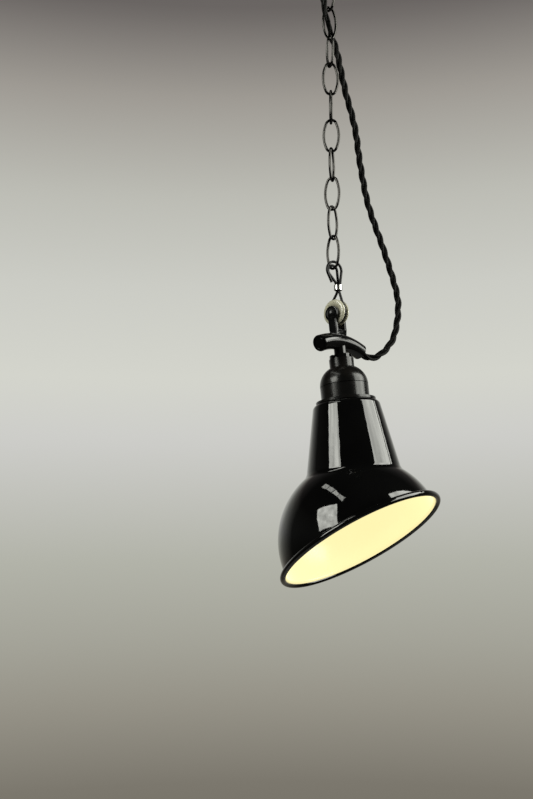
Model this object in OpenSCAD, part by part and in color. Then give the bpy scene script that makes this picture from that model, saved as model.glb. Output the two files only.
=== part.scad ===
// Industrial pendant light: a slant-cut enamelled shade on a lampholder, hung by a fork and a
// porcelain bobbin from a wire sling, a link chain and a ceiling hook, with a twisted cord beside
// the chain. Millimetres, +Z up, origin in the middle of the face that lies on the ceiling.
// The bobbin's axis and the cord horn lie along Y, and the shade opens towards +X.

/* [Ceiling plate] */
// Diameter of the plate
plate_d = 72; // [64:1:110]
// Thickness of the plate
plate_t = 4; // [3:0.5:8]
// Diameter of the boss under the plate
boss_d = 18; // [14:0.5:24]
// Height of the boss
boss_h = 7; // [6:0.5:14]
// Diameter of the two screw holes
screw_hole_d = 4.6; // [3:0.1:6]
// Distance between the two screw holes
screw_pitch = 54; // [48:1:60]

/* [Ceiling hook] */
// Thickness of the hook's rod
hook_rod_d = 4; // [3:0.1:5]
// Radius of the bends, at the middle of the rod
hook_bend_r = 7; // [6:0.25:10]
// How far the hook's mouth closes past the horizontal, in degrees
hook_close = 25; // [0:1:40]
// Straight rod between the locknut and the first bend
hook_shank_l = 3; // [1:0.5:20]
// Width of the locknut across its flats
hook_nut_w = 9; // [8:0.5:14]
// Height of the locknut
hook_nut_h = 3.2; // [2:0.2:6]

/* [Cord] */
// Diameter over the twisted cores
cord_d = 5; // [4:0.1:6]
// Distance from the hook to the cord's bush
bush_offset = 22; // [20:0.5:26]
// Direction of the bush from the hook, in degrees
bush_turn = 235; // [220:1:250]
// Outer diameter of the bush
bush_d = 10; // [8:0.5:14]
// Length of the bush below the plate
bush_l = 9; // [5:0.5:15]
// Diameter of the bush's flange
bush_flange_d = 14; // [12:0.5:18]
// Thickness of the bush's flange
bush_flange_t = 2; // [1:0.25:4]

/* [Chain] */
// Number of links
link_count = 10; // [4:1:20]
// Outside length of a link
link_l = 31.2; // [26:0.2:40]
// Outside width of a link
link_w = 15.5; // [13:0.5:20]
// Thickness of the link wire
link_wire_d = 2.3; // [1.6:0.1:2.6]
// Radius of a link's ends, at the middle of the wire
link_end_r = 4.6; // [4:0.1:5]
// Open seam where the ends of the wire meet
link_seam = 0.3; // [0.1:0.1:1]
// Turn from each link to the next
link_turn = 80.5; // [75:0.5:90]
// Direction of the last link's plane, in degrees
last_link_turn = -5.5; // [-15:0.5:15]
// Room between two links
link_play = 0.25; // [0.1:0.05:0.5]

/* [Wire sling] */
// Thickness of the sling wire
sling_wire_d = 2.3; // [1.8:0.1:2.4]
// Direction of the hooks' plane, in degrees
sling_hook_turn = 72; // [60:1:90]
// How far the ferrule stands beside the chain's line
sling_shift = 4.6; // [0:0.2:5]
// How far the ferrule stands beside the bobbin's middle
loop_shift = 2.4; // [0:0.2:4]
// Room between the last link and the inner hook
sling_play = 0.65; // [0.5:0.05:0.9]
// Height of the outer hook above the ferrule, at the middle of the wire
sling_outer_h = 19.75; // [18:0.25:24]
// Height of the inner hook, which carries the lamp
sling_inner_h = 17.05; // [16:0.05:18]
// Radius of the outer hook's loop
sling_outer_r = 7.4; // [6:0.1:8]
// Radius of the inner hook's loop
sling_inner_r = 4.6; // [4:0.1:5.5]
// Radius of the hooks' bends at the ferrule
sling_hook_neck_r = 5; // [4:0.5:6]
// Lean of the outer hook's free end
sling_end_lean = 27; // [20:1:35]
// Length of the outer hook's free end
sling_end_l = 8.5; // [4:0.5:9]
// Height from the bobbin's axis to the ferrule
sling_loop_h = 19.3; // [18:0.1:24]
// Radius of the lower loop's bends at the ferrule
sling_loop_neck_r = 6; // [4:0.5:7]
// Outer diameter of the crimp ferrule
ferrule_d = 7.2; // [6.6:0.1:8]
// Height of the crimp ferrule
ferrule_h = 4.8; // [4:0.2:9]

/* [Bobbin] */
// Diameter of the cheeks
bobbin_d = 22.6; // [21:0.2:30]
// Length along the axis
bobbin_l = 8.4; // [8:0.1:14]
// Diameter at the root of the groove
bobbin_groove_d = 15.4; // [14:0.1:18]
// Diameter of the hole for the bolt
bobbin_bore_d = 8.4; // [7:0.1:9]
// Width of the groove at its mouth
bobbin_mouth_w = 4; // [3:0.1:5]
// Rounding of the cheeks
bobbin_round = 1.2; // [0.5:0.1:2]

/* [Fork] */
// Diameter of the eyes
fork_eye_d = 13.6; // [12:0.2:18]
// Width of the arms
fork_arm_w = 8.4; // [7:0.1:12]
// Thickness of the arms
fork_arm_t = 2.8; // [2:0.2:4]
// Room between an arm and the bobbin
fork_side_gap = 0.3; // [0.1:0.05:1]
// Thickness of the fork's bridge
fork_bridge_t = 3; // [2:0.25:5]
// Diameter of the spigot under the bridge
fork_spigot_d = 6; // [4:0.5:8]
// Diameter of the pivot bolt
bolt_d = 5; // [4:0.1:6]
// Diameter of the bolt's domed head
bolt_head_d = 9.5; // [8:0.5:14]
// Height of the bolt's domed head
bolt_head_h = 2.6; // [1.5:0.1:4]
// Width of the bolt's nut across its flats
bolt_nut_w = 8; // [7:0.5:12]
// Height of the bolt's nut
bolt_nut_h = 3.2; // [2:0.2:5]

/* [Cord horn] */
// Distance from the bolt down to the middle of the horn
horn_drop = 24.4; // [23:0.2:34]
// Outer diameter of the horn
horn_d = 14; // [12:0.25:17]
// Bore of the horn
horn_bore_d = 8.4; // [7:0.2:10]
// Radius of the horn's arch
horn_arch_r = 80; // [60:1:150]
// Length of the plugged side, along the arch
horn_plug_side_l = 26; // [20:0.5:34]
// Length of the outlet side, along the arch
horn_outlet_side_l = 29; // [27:0.5:40]
// Slant of the outlet's cut
horn_outlet_slant = 40; // [20:1:45]
// Thickness of the plug's disc
plug_t = 1.8; // [1:0.1:3]
// Length of the plug's spigot
plug_spigot_l = 5; // [3:0.5:9]
// Length of the cord grip in the outlet
grip_l = 7; // [4:0.5:9]

/* [Stem] */
// Outer diameter of the stem
stem_d = 10.8; // [9.5:0.1:12]
// Bore of the stem
stem_bore_d = 7; // [6:0.1:8]
// Stem that shows between the horn and the locknut
stem_show_l = 5.2; // [3:0.1:10]
// Diameter of the locknut
stem_nut_d = 19.6; // [16:0.2:22]
// Thickness of the locknut
stem_nut_t = 3.2; // [1.6:0.1:4]
// Width of the locknut's spanner slots
stem_nut_slot_w = 3; // [2:0.25:4]
// Depth of the locknut's spanner slots
stem_nut_slot_l = 1.6; // [0.5:0.1:2.5]

/* [Lampholder] */
// Diameter of the collar
collar_d = 21; // [18:0.25:26]
// Height of the collar
collar_h = 7.6; // [6:0.2:12]
// Height of the dome
dome_h = 15.6; // [10:0.2:22]
// Diameter of the skirt
skirt_d = 41; // [38:0.5:50]
// Height of the skirt
skirt_h = 13; // [8:0.2:20]
// Height of the seam between dome and skirt
seam_h = 0.5; // [0.2:0.1:1]
// Diameter of the flange on the shade
flange_d = 50.7; // [46:0.1:54]
// Thickness of the flange
flange_t = 2; // [1.5:0.1:4]
// Outer diameter of the threaded sleeve
sleeve_d = 38.8; // [36:0.1:40]
// Length of the sleeve below the flange
sleeve_l = 27; // [20:0.5:34]
// Wall of the cap, skirt and sleeve
holder_wall = 2.2; // [1.6:0.1:3]
// Outer diameter of the shade ring
ring_d = 48; // [44:0.5:52]
// Height of the shade ring
ring_h = 7; // [5:0.5:10]
// Number of grip notches in the shade ring
ring_notches = 16; // [8:1:24]
// Diameter of a grip notch
ring_notch_d = 2.4; // [1.5:0.1:4]
// Height of the porcelain core
core_h = 14; // [10:0.5:18]
// Height of the screw shell below the core
shell_h = 20; // [16:0.5:26]
// Thickness of the screw shell
shell_t = 0.6; // [0.4:0.1:1]
// Thickness of the centre contact
contact_t = 1.2; // [0.8:0.1:2]
// Distance between the two terminal screws
terminal_pitch = 20; // [17:0.5:22]
// Diameter of a terminal screw's head
terminal_d = 5.5; // [4:0.25:7]

/* [Shade] */
// Thickness of the enamelled steel
shade_wall = 1; // [0.7:0.1:2]
// Diameter of the neck at its top
neck_top_d = 57.4; // [56:0.1:64]
// Diameter of the neck at its foot
neck_foot_d = 79.8; // [76:0.2:84]
// Height of the neck
neck_h = 61.5; // [60:0.5:66]
// Rounding of the neck's shoulder
shoulder_r = 4; // [3:0.25:6]
// Outer radius of the bowl
bowl_r = 68.4; // [66:0.2:80]
// Height from the neck's top to the middle of the bowl
bowl_drop = 115.5; // [112:0.5:118]
// How far the shade is turned on its holder
shade_turn = 8; // [-180:1:180]
// Slant of the rim
rim_slant = 25.5; // [10:0.5:32]
// Thickness of the rolled bead
bead_d = 4.8; // [3:0.2:6]
// Outer diameter of the beaded rim
rim_d = 148; // [146:0.5:168]

/* [Bulb] */
// Diameter of the round bulb
bulb_d = 45; // [40:0.5:50]
// Length of the bulb, cap and all
bulb_l = 76; // [70:0.5:84]
// Diameter of the bulb's screw cap
bulb_cap_d = 26; // [24:0.2:27]
// Length of the bulb's screw cap
bulb_cap_l = 24; // [20:0.5:27]
// Thickness of the glass
glass_t = 1; // [0.6:0.1:1.5]
// Radius of the sweep from the bulb's neck to its ball
bulb_sweep_r = 30; // [24:1:40]

/* [Fits and pose] */
// Radial clearance of a pin in its bore
fit = 0.08; // [0.03:0.01:0.1]
// Room between two pieces that are put together
seat = 0.15; // [0.05:0.05:0.3]
// How far the hanging lamp leans towards the shade's opening
lamp_lean = 6.5; // [0:0.5:15]

/* [Hidden] */
$fn = 64;
tiny = 0.01;
lap = 0.05;

// Heights of the ceiling fitting, from the ceiling down
boss_z = -plate_t - boss_h;
hook_start_z = boss_z - hook_nut_h - hook_shank_l;
hook_turn_in = acos(1 / 2);
hook_z = hook_start_z - 2 * hook_bend_r * sin(hook_turn_in) - hook_bend_r;
hook_tip_turn = 180 + hook_turn_in - hook_close;
hook_thread_l = boss_h - 1;

// A link's middle line: two side arcs and two end arcs
link_half_l = (link_l - link_wire_d) / 2;
link_half_w = (link_w - link_wire_d) / 2;
link_side_r = (pow(link_half_l - link_end_r, 2) + pow(link_half_w, 2) - pow(link_end_r, 2))
    / (2 * (link_half_w - link_end_r));
link_side_turn = atan2(link_half_l - link_end_r, link_side_r - link_half_w);
link_end_turn = 180 - 2 * link_side_turn;
link_seam_turn = asin(link_seam / 2 / link_side_r);
link_pitch = 2 * link_half_l - link_wire_d - link_play;
first_link_z = hook_z + (hook_rod_d + link_wire_d) / 2 + link_play - link_half_l;
last_link_foot_z = first_link_z - (link_count - 1) * link_pitch - link_half_l;

// The sling: its lower loop lies round the bobbin, and its hooks hang on the last link
strand_x = sling_wire_d / 2 + tiny;
hook_side = sling_wire_d / 2 + link_play / 2;
loop_r = bobbin_groove_d / 2 + sling_wire_d / 2 + fit;
crimp_l = ferrule_h * 3 / 4;
ferrule_bore_d = 2 * (norm([strand_x, hook_side]) + sling_wire_d / 2 + fit);
inner_top_z = last_link_foot_z + (link_wire_d + sling_wire_d) / 2 + sling_play;
ferrule_top_z = inner_top_z - sling_inner_h;
ferrule_foot_z = ferrule_top_z - ferrule_h;
bobbin_z = ferrule_foot_z - sling_loop_h;
sling_x = sling_shift * cos(sling_hook_turn);
sling_y = sling_shift * sin(sling_hook_turn);
lamp_x = sling_x - loop_shift;

// The bolt rests at the bottom of the bobbin's hole
bolt_z = bobbin_z - (bobbin_bore_d - bolt_d) / 2 + fit;

// Depths in the lamp's own frame, from the bolt down its axis
fork_half_w = bobbin_l / 2 + fork_side_gap + fork_arm_t;
bridge_s = horn_drop - horn_d / 2 - fork_bridge_t;
saddle_s = horn_drop - horn_d / 4;
stem_top_s = horn_drop + horn_bore_d / 2;
stem_nut_s = horn_drop + horn_d / 2 + stem_show_l;
collar_s = stem_nut_s + stem_nut_t;
dome_s = collar_s + collar_h;
skirt_s = dome_s + dome_h;
flange_s = skirt_s + skirt_h;
shade_s = flange_s + flange_t + seat;
ring_s = shade_s + shade_wall + seat;
sleeve_foot_s = flange_s + flange_t + sleeve_l;
core_s = skirt_s + holder_wall;
shell_s = core_s + core_h;
stem_foot_s = dome_s;
bowl_s = shade_s + bowl_drop;
bulb_s = shell_s + contact_t + fit;
bulb_ball_s = bulb_s + bulb_l - bulb_d / 2;
plug_turn = horn_plug_side_l / horn_arch_r * 180 / PI;
outlet_turn = horn_outlet_side_l / horn_arch_r * 180 / PI;
grip_end_turn = outlet_turn - horn_d * tan(horn_outlet_slant) / horn_arch_r * 180 / PI;
grip_start_turn = grip_end_turn - grip_l / horn_arch_r * 180 / PI;

// Rims
lip_r = rim_d / 2 - bead_d / 2;
lip_in_r = min(bowl_r - shade_wall, lip_r);
lip_out_r = max(bowl_r, lip_r);
sleeve_bore_d = sleeve_d - 2 * holder_wall;
core_d = sleeve_bore_d - 2 * seat;
shell_d = bulb_cap_d + 2 * seat + 2 * shell_t;
hex_round = 1 / cos(30);
far = 4 * rim_d;

// The cord's free route, from its bush in the ceiling plate to the horn's outlet
cord_sides = 10;
cord_front = [0.6, -0.8, 0];
cord_route = [
    [-12.6, -18, -5], [-12.6, -18, -16], [-11.5, -17, -26], [-8, -14.5, -35], [-3, -11.5, -43.5],
    [0.5, -10, -52], [1.5, -9.5, -61], [1.7, -8, -69.5], [1.6, -4.4, -74.5], [-0.1, -0.3, -77.5],
    [-2, 3.4, -81], [-2.3, 6.8, -85.5], [-1.1, 9.8, -93], [-0.2, 12.6, -103], [0.3, 16.4, -117],
    [1, 21.6, -134], [1.9, 27.8, -150], [2.5, 33.1, -167], [2.1, 37.9, -188], [2.1, 43, -208],
    [2.9, 48, -227], [5.4, 53.5, -245], [8.9, 59, -263], [11.9, 64.5, -281], [14.4, 68, -295],
    [16.9, 70.5, -309], [18.1, 71.3, -320], [18.3, 70.3, -331], [17.7, 68.3, -342], [16.4, 64.3, -354],
    [13.4, 58.1, -363.5], [9.3, 51.5, -370], [5.4, 45.2, -372.4], [2.9, 39.5, -371], [2.4, 33.5, -368.6],
    [2.2, 27.5, -366.6], [2.1, 22, -365.1]
];

function link_name(i) = str("chain_link_", i < 10 ? "0" : "", i);
function link_angle(i) = last_link_turn + (i - link_count) * link_turn;
function link_z(i) = first_link_z - (i - 1) * link_pitch;

// A teardrop of wire: a strand leaves the neck, bends out, and runs tangent into a loop at a rise above it.
// The loop stands beside the neck by a shift, away from the first strand.
function strand_lean(r, neck, out, rise) =
    atan2(rise, out + neck) - acos((neck + r) / norm([rise, out + neck]));
function strand_l(r, neck, lean, rise) = (rise - (neck + r) * sin(lean)) / cos(lean);

// Lean and length of a strand that starts beside the loop's middle: it bends in where the loop is narrower
function strand(r, neck, out, rise) =
    let (side = out < r ? neck : -neck, lean = strand_lean(r, side, out, rise))
    [lean, strand_l(r, side, lean, rise)];

// Steps of bent wire: [length] runs straight, and [radius, angle] turns, left for a positive angle
function teardrop(r, neck, rise, shift) =
    let (first = strand(r, neck, strand_x + shift, rise), last = strand(r, neck, strand_x - shift, rise))
    [[crimp_l], [neck, -first[0]], [first[1]], [r, 180 + first[0] + last[0]],
     [last[1]], [neck, -last[0]], [crimp_l]];
function open_hook(r, neck, rise, shift) =
    let (first = strand(r, neck, strand_x + shift, rise))
    [[crimp_l], [neck, -first[0]], [first[1]], [r, 180 + first[0] + sling_end_lean], [sling_end_l]];

// Wire bent in the XY plane, starting at the origin along +Y. Every second piece is a hair thinner
// and laps into its neighbours, so that all of them join into one wire.
module bent_wire(d, steps, i = 0) {
    if (i < len(steps)) {
        step = steps[i];
        thin = i % 2;
        piece_d = d - 2 * thin * tiny;
        over = thin * lap;
        if (len(step) == 1) {
            translate([0, -over, 0]) rotate([-90, 0, 0]) cylinder(d = piece_d, h = step[0] + 2 * over);
            translate([0, step[0], 0]) bent_wire(d, steps, i + 1);
        } else {
            r = step[0];
            side = sign(step[1]);
            over_turn = over / r * 180 / PI;
            translate([-side * r, 0, 0]) {
                mirror([side < 0 ? 1 : 0, 0, 0]) rotate([0, 0, -over_turn])
                    rotate_extrude(angle = abs(step[1]) + 2 * over_turn)
                        translate([r, 0]) circle(d = piece_d);
                rotate([0, 0, step[1]]) translate([side * r, 0, 0]) bent_wire(d, steps, i + 1);
            }
        }
    }
}

// Children drawn with the bolt's middle as origin, leaning as the lamp hangs
module in_lamp() {
    translate([lamp_x, sling_y, bolt_z]) rotate([0, -lamp_lean, 0]) children();
}

// A turned tube along the lamp's axis, from one depth to another
module lamp_tube(d, bore, s_from, s_to) {
    translate([0, 0, -s_to]) difference() {
        cylinder(d = d, h = s_to - s_from);
        translate([0, 0, -tiny]) cylinder(d = bore, h = s_to - s_from + 2 * tiny);
    }
}

// A rod along the horn's arch, between two turns from its top
module arch_rod(d, turn_from, turn_to) {
    translate([0, 0, -horn_drop - horn_arch_r]) rotate([0, -90, 0]) rotate([0, 0, turn_from])
        rotate_extrude(angle = turn_to - turn_from) translate([horn_arch_r, 0]) circle(d = d);
}

// Children placed on the arch at a turn from its top, with +Y along it
module on_arch(turn) {
    translate([0, 0, -horn_drop - horn_arch_r]) rotate([-turn, 0, 0])
        translate([0, 0, horn_arch_r]) children();
}

module hex_nut(w, h, bore) {
    difference() {
        intersection() {
            cylinder(d = w * hex_round, h = h, $fn = 6);
            rotate_extrude() nut_section(w, h);
        }
        translate([0, 0, -tiny]) cylinder(d = bore, h = h + 2 * tiny);
    }
}

// Half of a nut's section, with its corners taken off at the outer face
module nut_section(w, h) {
    corner = w * hex_round / 2;
    flat = w / 2;
    polygon([[0, 0], [corner, 0], [corner, h - (corner - flat)], [flat, h], [0, h]]);
}

module ceiling_plate() {
    color("#161616") difference() {
        union() {
            translate([0, 0, -plate_t]) cylinder(d = plate_d, h = plate_t);
            translate([0, 0, boss_z]) cylinder(d = boss_d, h = boss_h + tiny);
        }
        translate([0, 0, boss_z - tiny]) cylinder(d = hook_rod_d + 2 * fit, h = hook_thread_l + seat);
        for (side = [-1, 1]) translate([side * screw_pitch / 2, 0, -plate_t - tiny]) {
            cylinder(d = screw_hole_d, h = plate_t + 2 * tiny);
            cylinder(d1 = 2 * screw_hole_d, d2 = screw_hole_d, h = screw_hole_d / 2);
        }
        rotate([0, 0, bush_turn]) translate([bush_offset, 0, -plate_t - tiny])
            cylinder(d = bush_d + 2 * fit, h = plate_t + 2 * tiny);
    }
}

module ceiling_hook() {
    color("#1c1c1d") rotate([0, 0, link_angle(0)])
        translate([0, 0, boss_z + hook_thread_l]) rotate([-90, 0, 0]) bent_wire(hook_rod_d, [
            [hook_thread_l + hook_nut_h + hook_shank_l],
            [hook_bend_r, -hook_turn_in],
            [hook_bend_r, hook_tip_turn]
        ]);
}

module hook_locknut() {
    color("#1c1c1d") translate([0, 0, boss_z]) mirror([0, 0, 1])
        hex_nut(hook_nut_w, hook_nut_h, hook_rod_d + 2 * fit);
}

module cord_bush() {
    color("#0f0f0f") rotate([0, 0, bush_turn]) translate([bush_offset, 0, 0]) difference() {
        union() {
            translate([0, 0, -plate_t - bush_l]) cylinder(d = bush_d, h = plate_t + bush_l);
            translate([0, 0, -plate_t - bush_flange_t]) cylinder(d = bush_flange_d, h = bush_flange_t);
        }
        translate([0, 0, -plate_t - bush_l - tiny])
            cylinder(d = cord_d + 2 * seat, h = plate_t + bush_l + 2 * tiny);
    }
}

// One ring of the cord's tube, square to the route
function cord_ring(i) =
    let (
        last = len(cord_route) - 1,
        ahead = cord_route[min(i + 1, last)] - cord_route[max(i - 1, 0)],
        along = ahead / norm(ahead),
        across = cross(along, cord_front),
        side = across / norm(across),
        front = cross(side, along)
    )
    [for (k = [0 : cord_sides - 1]) cord_route[i]
        + cord_d / 2 * (cos(k * 360 / cord_sides) * side + sin(k * 360 / cord_sides) * front)];

module flex_cord() {
    rings = len(cord_route);
    points = [for (i = [0 : rings - 1]) each cord_ring(i)];
    walls = [for (i = [0 : rings - 2]) for (k = [0 : cord_sides - 1])
        let (a = i * cord_sides + k, b = i * cord_sides + (k + 1) % cord_sides)
        each [[a, b, b + cord_sides], [a, b + cord_sides, a + cord_sides]]];
    start = [for (k = [cord_sides - 1 : -1 : 0]) k];
    end = [for (k = [0 : cord_sides - 1]) (rings - 1) * cord_sides + k];
    color("#131311") polyhedron(points, concat(walls, [start, end]));
}

module chain_link(i) {
    color("#4a4a4c") translate([0, 0, link_z(i)]) rotate([0, 0, link_angle(i)]) rotate([90, 0, 0])
        translate([link_half_w - link_side_r, 0, 0]) rotate([0, 0, link_seam_turn])
        translate([link_side_r, 0, 0]) bent_wire(link_wire_d, [
            [link_side_r, link_side_turn - link_seam_turn], [link_end_r, link_end_turn],
            [link_side_r, 2 * link_side_turn], [link_end_r, link_end_turn],
            [link_side_r, link_side_turn - link_seam_turn]
        ]);
}

module wire_sling() {
    outer = open_hook(sling_outer_r, sling_hook_neck_r, sling_outer_h - sling_outer_r, sling_shift);
    inner = teardrop(sling_inner_r, sling_hook_neck_r, sling_inner_h - sling_inner_r, sling_shift);
    color("#111111") translate([sling_x, sling_y, 0]) {
        translate([strand_x, 0, ferrule_foot_z + crimp_l]) rotate([-90, 0, 0])
            bent_wire(sling_wire_d, teardrop(loop_r, sling_loop_neck_r, sling_loop_h, loop_shift));
        translate([0, 0, ferrule_top_z - crimp_l]) rotate([0, 0, sling_hook_turn]) {
            translate([strand_x, -hook_side, 0]) rotate([90, 0, 0]) bent_wire(sling_wire_d, outer);
            translate([strand_x, hook_side, 0]) rotate([90, 0, 0]) bent_wire(sling_wire_d, inner);
        }
    }
}

module ferrule() {
    edge = (ferrule_d - ferrule_bore_d) / 4;
    color("#c9cac5") translate([sling_x, sling_y, ferrule_foot_z]) rotate_extrude() {
        translate([ferrule_bore_d / 2, edge]) square([2 * edge, ferrule_h - 2 * edge]);
        for (z = [edge, ferrule_h - edge]) translate([ferrule_bore_d / 2 + edge, z]) circle(r = edge);
    }
}

module bobbin() {
    waist = (bobbin_d - bobbin_groove_d) / 2;
    color("#e6e1d0") translate([lamp_x, sling_y, bobbin_z]) rotate([90, 0, 0]) difference() {
        rotate_extrude() difference() {
            union() {
                translate([0, -bobbin_l / 2]) square([bobbin_d / 2 - bobbin_round, bobbin_l]);
                translate([0, -bobbin_l / 2 + bobbin_round])
                    square([bobbin_d / 2, bobbin_l - 2 * bobbin_round]);
                for (side = [-1, 1])
                    translate([bobbin_d / 2 - bobbin_round, side * (bobbin_l / 2 - bobbin_round)])
                        circle(r = bobbin_round);
            }
            translate([loop_r, 0]) circle(d = sling_wire_d + 2 * fit);
            polygon([
                [loop_r, -sling_wire_d / 2 - fit], [loop_r + waist, -bobbin_mouth_w / 2],
                [loop_r + waist, bobbin_mouth_w / 2], [loop_r, sling_wire_d / 2 + fit]
            ]);
        }
        translate([0, 0, -bobbin_l / 2 - tiny]) cylinder(d = bobbin_bore_d, h = bobbin_l + 2 * tiny);
    }
}

module fork() {
    arm_y = fork_half_w - fork_arm_t / 2;
    color("#121212") in_lamp() difference() {
        union() {
            for (side = [-1, 1]) translate([0, side * arm_y, 0]) {
                rotate([90, 0, 0]) cylinder(d = fork_eye_d, h = fork_arm_t, center = true);
                translate([-fork_arm_w / 2, -fork_arm_t / 2, -saddle_s])
                    cube([fork_arm_w, fork_arm_t, saddle_s]);
            }
            translate([-fork_arm_w / 2, -fork_half_w, -saddle_s])
                cube([fork_arm_w, 2 * fork_half_w, saddle_s - bridge_s]);
            translate([0, 0, -horn_drop + horn_bore_d / 2 + seat])
                cylinder(d = fork_spigot_d, h = horn_drop - bridge_s - horn_bore_d / 2 - 2 * seat);
        }
        rotate([90, 0, 0]) cylinder(d = bolt_d + 2 * fit, h = 4 * fork_half_w, center = true);
        difference() {
            arch_rod(horn_d + 2 * seat, -plug_turn, outlet_turn);
            translate([0, 0, -horn_drop]) cylinder(d = fork_spigot_d, h = horn_drop);
        }
    }
}

module pivot_bolt() {
    dome_r = (pow(bolt_head_d / 2, 2) + pow(bolt_head_h, 2)) / (2 * bolt_head_h);
    color("#161616") in_lamp() rotate([90, 0, 0]) {
        translate([0, 0, -fork_half_w - bolt_nut_h])
            cylinder(d = bolt_d, h = 2 * fork_half_w + bolt_nut_h + tiny);
        translate([0, 0, fork_half_w]) intersection() {
            translate([0, 0, bolt_head_h - dome_r]) sphere(r = dome_r);
            cylinder(d = 2 * bolt_head_d, h = bolt_head_h + tiny);
        }
    }
}

module pivot_nut() {
    color("#161616") in_lamp() translate([0, fork_half_w, 0]) rotate([-90, 0, 0])
        hex_nut(bolt_nut_w, bolt_nut_h, bolt_d + 2 * fit);
}

module cord_horn() {
    color("#121212") in_lamp() difference() {
        arch_rod(horn_d, -plug_turn, outlet_turn);
        arch_rod(horn_bore_d, -plug_turn - 1, outlet_turn + 1);
        on_arch(outlet_turn) translate([0, 0, horn_d / 2]) rotate([horn_outlet_slant, 0, 0])
            translate([-far / 2, 0, -far]) cube([far, far, 2 * far]);
        translate([0, 0, -horn_drop]) cylinder(d = fork_spigot_d + 2 * fit, h = horn_drop);
        translate([0, 0, -horn_drop - horn_d]) cylinder(d = stem_d + 2 * fit, h = horn_d);
    }
}

module horn_plug() {
    ring_w = plug_t / 2;
    color("#171717") in_lamp() on_arch(-plug_turn) rotate([90, 0, 0]) {
        difference() {
            cylinder(d = horn_d, h = plug_t);
            translate([0, 0, plug_t - ring_w / 2]) difference() {
                cylinder(d = horn_d - 4 * ring_w, h = plug_t);
                translate([0, 0, -tiny]) cylinder(d = horn_d - 6 * ring_w, h = plug_t + 2 * tiny);
            }
        }
        translate([0, 0, -plug_spigot_l]) cylinder(d = horn_bore_d - 4 * seat, h = plug_spigot_l + tiny);
    }
}

module cord_grip() {
    color("#1b1b1b") in_lamp() difference() {
        arch_rod(horn_bore_d - 2 * seat, grip_start_turn, grip_end_turn);
        arch_rod(cord_d + 2 * seat, grip_start_turn - 1, grip_end_turn + 1);
    }
}

module cord_tail() {
    color("#131311") in_lamp() {
        arch_rod(cord_d, 0, grip_end_turn);
        translate([0, 0, -horn_drop]) sphere(d = cord_d);
        translate([0, 0, -core_s + seat]) cylinder(d = cord_d, h = core_s - seat - horn_drop);
    }
}

module stem_tube() {
    color("#131313") in_lamp() difference() {
        lamp_tube(stem_d, stem_bore_d, stem_top_s, stem_foot_s);
        arch_rod(horn_bore_d, -plug_turn, outlet_turn);
    }
}

module stem_locknut() {
    color("#171717") in_lamp() difference() {
        lamp_tube(stem_nut_d, stem_d + 2 * fit, stem_nut_s, collar_s);
        for (turn = [0 : 90 : 270]) rotate([0, 0, turn])
            translate([stem_nut_d / 2 - stem_nut_slot_l, -stem_nut_slot_w / 2, -collar_s - tiny])
                cube([stem_nut_slot_l + tiny, stem_nut_slot_w, stem_nut_t + 2 * tiny]);
    }
}

// Half of the cap's section: a straight collar over a dome that stands upright at the seam
module cap_section(inset) {
    rise = (skirt_d - collar_d) / 2;
    arc_r = (rise * rise + dome_h * dome_h) / (2 * rise);
    square([collar_d / 2 - inset, dome_h + collar_h - inset]);
    intersection() {
        translate([skirt_d / 2 - arc_r, 0]) circle(r = arc_r - inset);
        square([skirt_d, dome_h]);
    }
}

module holder_cap() {
    color("#0f0f10") in_lamp() translate([0, 0, -skirt_s]) rotate_extrude() difference() {
        cap_section(0);
        cap_section(holder_wall);
        square([stem_d / 2 + fit, skirt_s]);
    }
}

module holder_body() {
    spigot_d = skirt_d - 2 * holder_wall - 2 * seat;
    color("#101011") in_lamp() {
        lamp_tube(skirt_d, sleeve_bore_d, skirt_s + seam_h, flange_s + tiny);
        lamp_tube(flange_d, sleeve_bore_d, flange_s, flange_s + flange_t);
        lamp_tube(sleeve_d, sleeve_bore_d, flange_s, sleeve_foot_s);
        lamp_tube(spigot_d - seam_h, sleeve_bore_d, skirt_s - seam_h, skirt_s + seam_h + tiny);
    }
}

module shade_ring() {
    color("#141414") in_lamp() difference() {
        lamp_tube(ring_d, sleeve_d + 2 * fit, ring_s, ring_s + ring_h);
        for (i = [0 : ring_notches - 1]) rotate([0, 0, i * 360 / ring_notches])
            translate([ring_d / 2, 0, -ring_s - ring_h - tiny])
                cylinder(d = ring_notch_d, h = ring_h + 2 * tiny);
    }
}

module holder_core() {
    color("#e9e6dc") in_lamp() difference() {
        translate([0, 0, -shell_s]) cylinder(d = core_d, h = core_h);
        for (side = [-1, 1]) translate([0, side * terminal_pitch / 2, -core_s - terminal_d / 2])
            cylinder(d = terminal_d + 2 * seat, h = terminal_d);
    }
}

module screw_shell() {
    color("#b9974a") in_lamp() lamp_tube(shell_d, shell_d - 2 * shell_t, shell_s, shell_s + shell_h);
}

module centre_contact() {
    color("#c7a552") in_lamp() translate([0, 0, -shell_s - contact_t])
        cylinder(d = terminal_d, h = contact_t);
}

module terminal_screws() {
    slot = terminal_d / 6;
    color("#c7a552") in_lamp() for (side = [-1, 1]) translate([0, side * terminal_pitch / 2, -core_s]) {
        difference() {
            translate([0, 0, -terminal_d / 2]) cylinder(d = terminal_d, h = terminal_d / 2);
            translate([-terminal_d, -slot / 2, -slot]) cube([2 * terminal_d, slot, 2 * slot]);
        }
    }
}

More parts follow.
